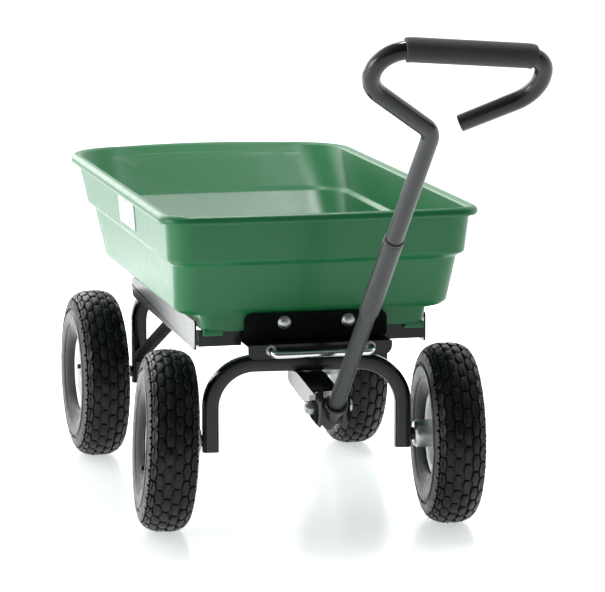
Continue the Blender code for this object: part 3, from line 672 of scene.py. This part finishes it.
def make_grip():
    """Foam sleeve on the top run, let into the start of both bends."""
    path = arc_path([(x, 0, z) for x, z in LOOP], LOOP_BENDS, 24)
    covered = [p for p in path if p.z > 0.6900 and -0.0730 < p.x < 0.0960]
    a, b = covered[0], covered[-1]
    back, ahead = (a - covered[1]).normalized(), (b - covered[-2]).normalized()
    line = ([a + back * d for d in (0.0012, 0.0010, 0.0004)] + covered
            + [b + ahead * d for d in (0.0004, 0.0010, 0.0012)])
    sizes = [-0.0018, -0.0006, -0.0001] + [0.0] * len(covered) + [-0.0001, -0.0006, -0.0018]
    foam_skin = section_rings(line, [circle(GRIP_R + extra, 44) for extra in sizes], ACROSS)
    bore = section_rings(line, circle(UPPER_R + 0.0002, 44), ACROSS)
    bm = bmesh.new()
    loft(bm, [[LOOP_FRAME @ p for p in ring] for ring in foam_skin + bore[::-1]], closed=True)
    grip = piece("grip_foam_sleeve", bm, FOAM, "handle", smooth=50)
    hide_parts("grip")


def make_arch(name, node, body, place, leg_x, leg_z, top, bend):
    mid = top - ARCH_TUBE / 2
    corners = [(-leg_x, 0, leg_z), (-leg_x, 0, mid), (leg_x, 0, mid), (leg_x, 0, leg_z)]
    path = arc_path(corners, (bend, bend), 22)
    section = rounded_square(ARCH_TUBE, 0.0060)
    wall = rounded_square(ARCH_TUBE - 0.0036, 0.0045)
    outside = section_rings(path, section, ACROSS)
    inside = section_rings([path[0], path[0] + Vector((0, 0, 0.02))], wall, ACROSS)
    other = section_rings([path[-1] + Vector((0, 0, 0.02)), path[-1]], wall, ACROSS)
    bm = bmesh.new()
    loft(bm, [[place @ p for p in ring] for ring in inside[::-1] + outside + other[::-1]])
    arch = piece(name, bm, BLACK, body, smooth=45)
    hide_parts(node)


def wire_rings(path, radius, sides):
    """Rings of a round wire along a path that may leave its plane."""
    rings, up = [], Vector((0, 0, 1))
    for k, p in enumerate(path):
        along = (path[min(k + 1, len(path) - 1)] - path[max(k - 1, 0)]).normalized()
        side = along.cross(up).normalized()
        up = side.cross(along).normalized()
        rings.append([p + side * u + up * v for u, v in circle(radius, sides)])
    return rings


def make_bail():
    """Bright wire pull: straight legs in the eyes, front bar hanging a little lower."""
    half, sag, reach = 0.0718, -0.0040, 0.0460
    place = Matrix.Translation((0, FRONT_AXLE_Y - 0.1015, 0.2725))
    corners = [(-half, reach, 0), (-half, 0.0125, 0), (-half, 0, sag), (half, 0, sag), (half, 0.0125, 0),
               (half, reach, 0)]
    path = arc_path(corners, (0.006, 0.0085, 0.0085, 0.006), 8)
    bm = bmesh.new()
    loft(bm, [[place @ p for p in ring] for ring in wire_rings(path, 0.0047, 24)])
    bail = piece("bail_wire", bm, CHROME, "latch", smooth=50)
    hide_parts("bail")


def fork_cheek(bm, front, mid, rear):
    """One cheek: rolled front edge, a web running back to the pivot, closed along its height."""
    steps = [k / 8 - 1 for k in range(17)]
    place = TONGUE_FRAME @ Matrix.Translation((0, PIVOT_Y, PIVOT_Z))
    edge = [front(t) for t in steps]
    ends = [edge[0] - Vector((0, 0, 0.0030))] + edge + [edge[-1] + Vector((0, 0, 0.0030))]
    tips = wire_rings(ends, 0.0043, 20)
    for ring, centre, t in zip(tips, ends, [-1] + steps + [1]):
        scale = 0.55 if ring in (tips[0], tips[-1]) else 0.86 + 0.26 * t * t
        for p in ring:
            p.xy = centre.xy + (p.xy - centre.xy) * scale
    loft(bm, [[place @ p for p in ring] for ring in tips])
    rings = []
    for t, lip in zip(steps, edge):
        corners = [Vector((rear[0], rear[2], 0.55 * lip.z)), Vector((mid[0], mid[2], 0.80 * lip.z)),
                   lip.copy()]
        across = [rear[1] - rear[0], mid[1] - mid[0], mid[1] - mid[0]]
        far = [c + Vector((w, 0, 0)) for c, w in zip(corners, across)]
        rings.append([place @ c for c in corners + far[::-1]])
    loft(bm, rings)


def make_fork_casting():
    """Fork head: two rolled-edge cheeks, a web in front of the tongue and a tapered tube socket."""
    bm = bmesh.new()
    fork_cheek(bm, lambda t: Vector((-0.0202 + 0.0018 * t, -0.0205 + 0.0030 * t * t, 0.0010 + 0.0265 * t)),
               (-0.0262, -0.0236, -0.0130), (-0.0262, -0.0236, 0.0110))
    fork_cheek(bm, lambda t: Vector((0.0132 + 0.0036 * t, -0.0205 + 0.0030 * t * t, -0.0045 + 0.0240 * t)),
               (0.0236, 0.0262, -0.0130), (0.0236, 0.0262, 0.0110))
    place = TONGUE_FRAME @ Matrix.Translation((0, PIVOT_Y, PIVOT_Z))
    web = bmesh.new()
    box(web, (-0.0215, -0.0185, -0.0230), (0.0165, -0.0155, 0.0160), 0.001)
    bmesh.ops.transform(web, matrix=place, verts=web.verts)
    held = bpy.data.meshes.new("web")
    web.to_mesh(held)
    web.free()
    bm.from_mesh(held)
    bpy.data.meshes.remove(held)
    socket = [(-0.0240, 0.0030), (-0.0240, 0.0085), (-0.0225, 0.0102), (-0.0040, 0.0122), (0.0120, 0.0148),
              (0.0190, 0.0168), (0.0225, 0.0172), (0.0240, 0.0160), (0.0240, TUBE_R + 0.0004),
              (0.0060, TUBE_R + 0.0004), (0.0040, 0.0030)]
    line = rounded(socket, [0, 0.001, 0.001, 0.006, 0.006, 0.003, 0.002, 0.001, 0.0006, 0.0005, 0], 3)
    columns = []
    for k in range(48):
        a = 2 * math.pi * k / 48
        columns.append([PULL_FRAME @ Vector((r * math.cos(a), r * math.sin(a), z)) for z, r in line])
    loft(bm, columns, closed=True)
    casting = piece("fork_casting", bm, BLACK, "handle", smooth=45)
    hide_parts("fork_head")


def make_latch_bolts():
    """Domed screw heads on the tub's latch plate."""
    for side, sx in (("left", -1), ("right", 1)):
        spot = (Matrix.Translation((sx * 0.0462, FRONT_AXLE_Y - 0.0563, 0.3070))
                @ Matrix.Rotation(-math.pi / 2, 4, "Z"))
        line = [(-0.0300, 0.0048), (0.0, 0.0048), (0.0002, 0.0092), (0.0014, 0.0094), (0.0017, 0.0084),
                (0.0032, 0.0080), (0.0048, 0.0064), (0.0058, 0.0036), (0.0062, 0.0004)]
        bm = bmesh.new()
        line = rounded(line, [0, 0, 0.0003, 0.0003, 0.0003, 0.001, 0.001, 0.001, 0], 2)
        turn(bm, line, 40, spot, closed=False)
        head = piece("latch_bolt_dome_" + side, bm, ZINC, "tub", smooth=50)
        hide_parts("latch_bolt_" + side)


def make_brace(side, sx):
    """Tube between a rail and the rear arch."""
    start = Vector((sx * 0.1550, FRONT_AXLE_Y + 0.205, 0.2685))
    end = Vector((sx * 0.1380, JOINTS["wheel_rear_left_spin"]["pos_m"][1] - 0.0170, 0.1560))
    normal = (end - start).normalized().cross(Vector((1, 0, 0))).normalized()
    bm = bmesh.new()
    loft(bm, section_rings([start, end], rounded_square(0.0190, 0.0090, 7), normal))
    # painted shade: the brace takes the shaded copy of the frame paint
    brace = piece("brace_tube_" + side, bm, SHADED_BLACK_COPY, "frame", smooth=45)
    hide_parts("brace_" + side)


make_brace("left", -1)
make_brace("right", 1)
make_pull_tube()
make_hand_loop()
make_grip()
REAR_AXLE_Y = JOINTS["wheel_rear_left_spin"]["pos_m"][1]
make_arch("front_arch_bent", "front_arch", "steering", STEER_FRAME, 0.1389, 0.1125, 0.2505, 0.064)
make_arch("rear_arch_bent", "rear_arch", "frame", Matrix.Translation((0, REAR_AXLE_Y, 0)),
          0.1359, 0.1125, 0.2835, 0.062)
make_latch_bolts()
make_bail()
make_fork_casting()


# ------------------------------------------------------------------ floor, light and camera
def add_stage():
    """Pale floor whose glow is painted light that lightens the cast shadows: a little less towards the camera,
    brighter in a band further back.
    """
    floor = bpy.data.objects.new("floor", bpy.data.meshes.new("floor"))
    bm = bmesh.new()
    bmesh.ops.create_grid(bm, x_segments=1, y_segments=1, size=14)
    bm.to_mesh(floor.data)
    bm.free()
    bpy.context.scene.collection.objects.link(floor)
    made, tree, shader = material("floor_white", (0.82, 0.85, 0.87), 0.0, 0.21)
    tone = ramp(tree, noise(tree, 2.0), [(0.3, (0.83, 0.85, 0.86, 1)), (0.7, (0.85, 0.87, 0.88, 1))])
    tree.links.new(tone, shader.inputs["Base Color"])
    coords = tree.nodes.new("ShaderNodeTexCoord")
    split = tree.nodes.new("ShaderNodeSeparateXYZ")
    tree.links.new(coords.outputs["Object"], split.inputs["Vector"])
    # painted light: the floor's glow, weaker towards the camera
    fade = tree.nodes.new("ShaderNodeMapRange")
    fade.interpolation_type = "SMOOTHSTEP"
    fade.inputs["From Min"].default_value = -1.5
    fade.inputs["From Max"].default_value = -0.5
    fade.inputs["To Min"].default_value = 0.16
    fade.inputs["To Max"].default_value = 0.56
    tree.links.new(split.outputs["Y"], fade.inputs["Value"])
    shader.inputs["Emission Color"].default_value = (0.96, 0.99, 1.0, 1.0)
    # painted light: a band of stronger glow further back
    back = tree.nodes.new("ShaderNodeMapRange")
    back.interpolation_type = "SMOOTHSTEP"
    back.inputs["From Min"].default_value = 0.9
    back.inputs["From Max"].default_value = 1.6
    back.inputs["To Max"].default_value = 0.9
    tree.links.new(split.outputs["Y"], back.inputs["Value"])
    far = tree.nodes.new("ShaderNodeMapRange")
    far.interpolation_type = "SMOOTHSTEP"
    far.inputs["From Min"].default_value = 1.7
    far.inputs["From Max"].default_value = 2.2
    far.inputs["To Max"].default_value = -0.9
    tree.links.new(split.outputs["Y"], far.inputs["Value"])
    band = tree.nodes.new("ShaderNodeMath")
    tree.links.new(back.outputs["Result"], band.inputs[0])
    tree.links.new(far.outputs["Result"], band.inputs[1])
    glow = tree.nodes.new("ShaderNodeMath")
    tree.links.new(fade.outputs["Result"], glow.inputs[0])
    tree.links.new(band.outputs["Value"], glow.inputs[1])
    tree.links.new(glow.outputs["Value"], shader.inputs["Emission Strength"])
    floor.data.materials.append(made)


def area_light(name, place, aim, size, power):
    lamp = bpy.data.lights.new(name, "AREA")
    lamp.shape = "RECTANGLE"
    lamp.size, lamp.size_y = size
    lamp.energy = power
    made = bpy.data.objects.new(name, lamp)
    made.location = place
    made.rotation_euler = (Vector(aim) - Vector(place)).to_track_quat("-Z", "Y").to_euler()
    bpy.context.scene.collection.objects.link(made)


def add_lights():
    """White surroundings behind and beside the cart, dark towards the camera, and three soft panels."""
    world = bpy.data.worlds.new("studio")
    world.use_nodes = True
    tree = world.node_tree
    background = tree.nodes["Background"]
    coords = tree.nodes.new("ShaderNodeTexCoord")
    split = tree.nodes.new("ShaderNodeSeparateXYZ")
    tree.links.new(coords.outputs["Generated"], split.inputs["Vector"])
    depth = tree.nodes.new("ShaderNodeMapRange")
    depth.interpolation_type = "SMOOTHSTEP"
    depth.inputs["From Min"].default_value = -0.85
    depth.inputs["From Max"].default_value = 0.45
    depth.inputs["To Min"].default_value = 0.07
    depth.inputs["To Max"].default_value = 1.25
    tree.links.new(split.outputs["Y"], depth.inputs["Value"])
    ceiling = tree.nodes.new("ShaderNodeMapRange")
    ceiling.interpolation_type = "SMOOTHSTEP"
    ceiling.inputs["From Min"].default_value = 0.55
    ceiling.inputs["From Max"].default_value = 0.90
    ceiling.inputs["To Min"].default_value = 1.0
    ceiling.inputs["To Max"].default_value = 0.45
    tree.links.new(split.outputs["Z"], ceiling.inputs["Value"])
    around = tree.nodes.new("ShaderNodeMath")
    around.operation = "MULTIPLY"
    tree.links.new(depth.outputs["Result"], around.inputs[0])
    tree.links.new(ceiling.outputs["Result"], around.inputs[1])
    seen = tree.nodes.new("ShaderNodeLightPath")
    mix = tree.nodes.new("ShaderNodeMix")
    mix.data_type = "FLOAT"
    tree.links.new(seen.outputs["Is Camera Ray"], mix.inputs["Factor"])
    tree.links.new(around.outputs["Value"], mix.inputs["A"])
    mix.inputs["B"].default_value = 1.05
    tree.links.new(mix.outputs["Result"], background.inputs["Strength"])
    background.inputs["Color"].default_value = (1, 1, 1, 1)
    bpy.context.scene.world = world
    area_light("back_panel", (-1.5, 3.3, 1.8), (-0.1, 0.2, 0.3), (3.6, 2.8), 75)
    area_light("top_panel", (0.24, 0.33, 2.9), (0.0, 0.45, 0.3), (0.80, 0.80), 46)
    area_light("rear_strip", (0.05, 2.00, 2.9), (0.1, 0.6, 0.4), (0.30, 0.60), 7)
    area_light("left_panel", (-2.8, -0.2, 0.8), (-0.2, 0.0, 0.2), (1.6, 1.2), 30)


CAMERA_AT = (-1.1231, FRONT_AXLE_Y - 4.6118, 1.1113)
CAMERA_DOWN = 0.1624
CAMERA_ROUND = -0.2376
CAMERA_LENS = 201.36


def add_camera():
    camera = bpy.data.objects.new("camera", bpy.data.cameras.new("camera"))
    camera.location = CAMERA_AT
    camera.rotation_euler = (math.pi / 2 - CAMERA_DOWN, 0, CAMERA_ROUND)
    camera.data.lens = CAMERA_LENS
    camera.data.sensor_width = 36
    camera.data.sensor_fit = "HORIZONTAL"
    camera.data.clip_end = 60
    bpy.context.scene.collection.objects.link(camera)
    bpy.context.scene.camera = camera


add_stage()
add_lights()
add_camera()
bpy.context.scene.view_settings.view_transform = "Standard"
